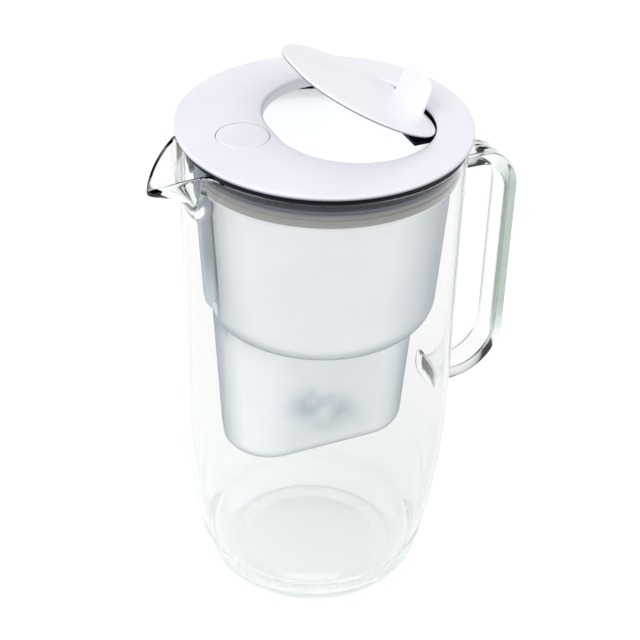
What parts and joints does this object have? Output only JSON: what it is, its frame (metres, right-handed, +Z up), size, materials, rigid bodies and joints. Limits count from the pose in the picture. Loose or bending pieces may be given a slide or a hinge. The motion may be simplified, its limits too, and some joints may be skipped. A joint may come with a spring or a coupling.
{
  "type": "water filter pitcher",
  "caption": "Clear glass water filter pitcher with a pouring spout, a looped glass handle, a hanging frosted funnel with its cartridge, and a white lid with a hinged filling flap.",
  "frame": {"origin": "centre of the jug's foot, on the plane it stands on", "axes": "+Z up along the jug's axis, -X towards the spout, +X towards the handle, so Y runs across and is the hinge line of the flap"},
  "size_m": [0.205, 0.15, 0.309],
  "materials": {
    "jug_glass": "clear blown borosilicate glass",
    "frosted_plastic": "frosted translucent plastic",
    "smoke_seal": "smoke grey translucent elastomer",
    "cartridge_plastic": "satin moulded plastic",
    "cartridge_elastomer": "soft pale grey elastomer",
    "screen_fabric": "fine white mesh",
    "filter_media": "packed dark granules",
    "lid_white": "white plastic with a soft sheen",
    "lid_dark": "near-black moulded plastic",
    "button_white": "white plastic with a soft sheen",
    "housing_plastic": "light grey moulded plastic",
    "board_laminate": "green coated laminate",
    "switch_plastic": "black moulded plastic",
    "led_lens": "clear green-tinted lens",
    "cell_steel": "nickel-plated steel can",
    "contact_brass": "sprung plated strip",
    "ring_rubber": "black rubber ring"
  },
  "bodies": {
    "jug": {"glass_body": "jug_glass", "glass_handle": "jug_glass"},
    "funnel_unit": {"funnel": "frosted_plastic", "funnel_collar": "smoke_seal"},
    "cartridge": {"cartridge_shell": "cartridge_plastic", "cartridge_cap": "cartridge_plastic", "cartridge_seal": "cartridge_elastomer", "cartridge_top_screen": "screen_fabric", "cartridge_bottom_screen": "screen_fabric", "cartridge_media": "filter_media"},
    "lid": {"lid_cover": "lid_white", "lid_carrier": "lid_dark", "hinge_bracket": "lid_dark", "indicator_housing": "housing_plastic", "indicator_switch": "switch_plastic", "indicator_board": "board_laminate", "indicator_led": "led_lens", "indicator_battery": "cell_steel", "indicator_contact": "contact_brass", "indicator_door": "housing_plastic", "indicator_seal": "ring_rubber"},
    "flip_flap": {"flap": "lid_white"},
    "indicator": {"indicator_button": "button_white"}
  },
  "joints": [
    {"name": "funnel_lift", "type": "slide", "parent": "jug", "child": "funnel_unit", "axis": [0, 0, 1], "range_m": [0, 0.19]},
    {"name": "cartridge_lift", "type": "slide", "parent": "funnel_unit", "child": "cartridge", "axis": [0, 0, 1], "range_m": [0, 0.185]},
    {"name": "lid_lift", "type": "slide", "parent": "cartridge", "child": "lid", "axis": [0, 0, 1], "range_m": [0, 0.06]},
    {"name": "flap_hinge", "type": "hinge", "parent": "lid", "child": "flip_flap", "pos_m": [0.0473, 0, 0.2707], "axis": [0, 1, 0], "range_deg": [-27.5, 0]},
    {"name": "indicator_press", "type": "slide", "parent": "lid", "child": "indicator", "axis": [0, 0, -1], "range_m": [0, 0.0008], "stiffness_N_per_m": 400, "springref_m": -0.0005}
  ]
}
